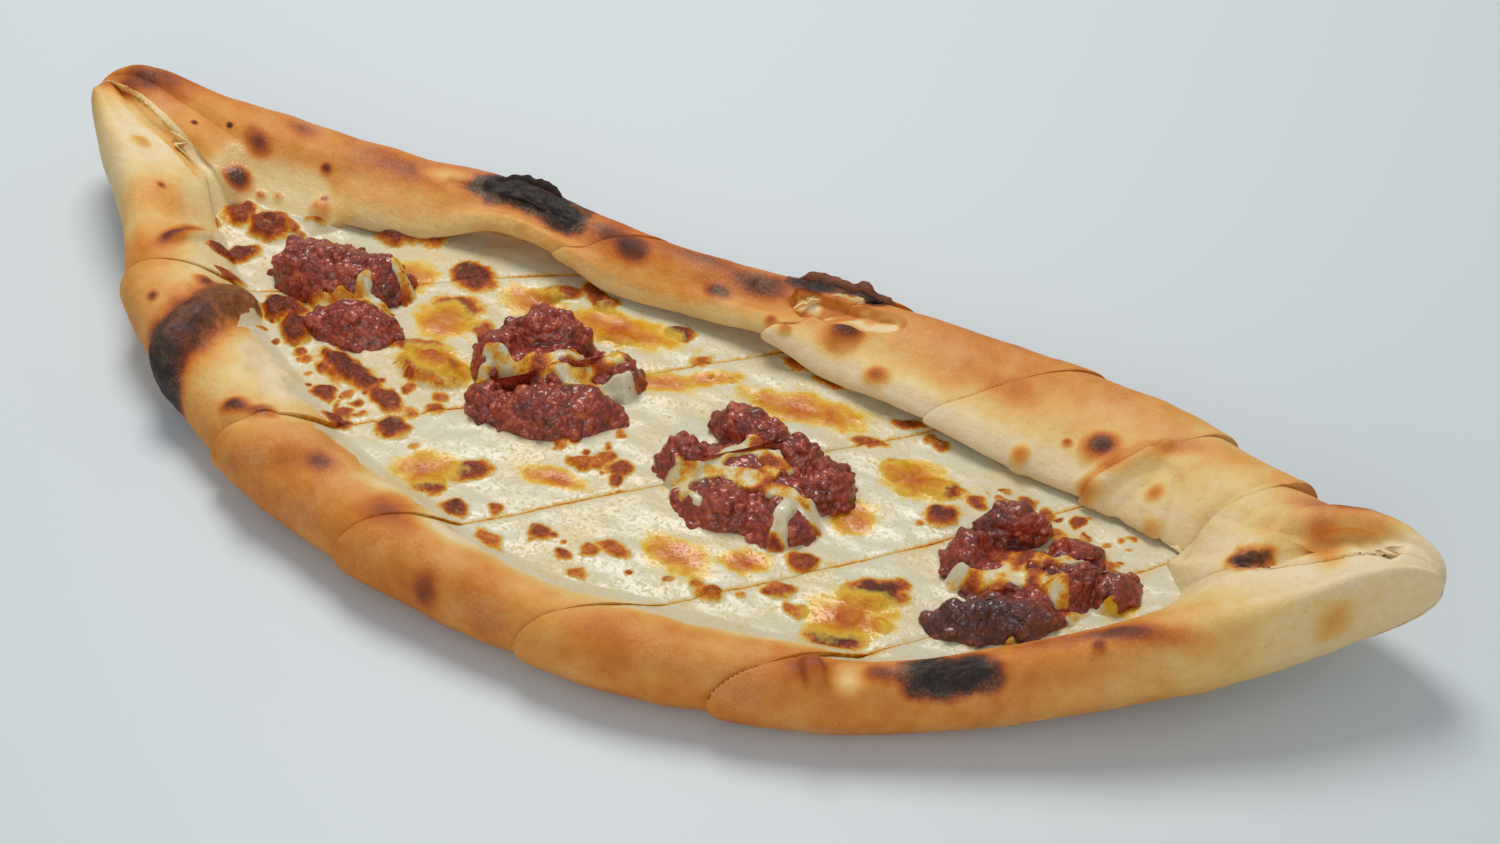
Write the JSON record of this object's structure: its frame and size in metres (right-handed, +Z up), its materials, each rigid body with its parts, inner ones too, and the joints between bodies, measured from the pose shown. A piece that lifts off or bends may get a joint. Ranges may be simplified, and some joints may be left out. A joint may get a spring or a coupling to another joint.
{
  "type": "turkish pide",
  "caption": "Open boat-shaped flatbread with a folded crust rim, filled with melted cheese and heaps of minced meat, cut crosswise into slices that lie together.",
  "frame": {"origin": "middle of the loaf's length and width, on the surface that its flat underside rests on", "axes": "+X along the loaf towards the tip with the folded roll, +Y across it towards the rim whose lip folds over the cheese, +Z up"},
  "size_m": [0.4202, 0.157, 0.0385],
  "materials": {
    "crust": "baked dough, matt golden brown",
    "cheese": "melted cheese, soft gloss",
    "meat": "fried minced meat, moist"
  },
  "bodies": {
    "root": {"bread_1": "crust", "bread_2": "crust", "bread_3": "crust", "bread_4": "crust", "bread_5": "crust", "bread_6": "crust", "cheese_1": "cheese", "cheese_2": "cheese", "cheese_3": "cheese", "cheese_4": "cheese", "cheese_5": "cheese", "cheese_6": "cheese", "meat_1a": "meat", "meat_1b": "meat", "meat_2a": "meat", "meat_2b": "meat", "meat_3a": "meat", "meat_3b": "meat", "meat_4a": "meat", "meat_4b": "meat"}
  },
  "joints": []
}
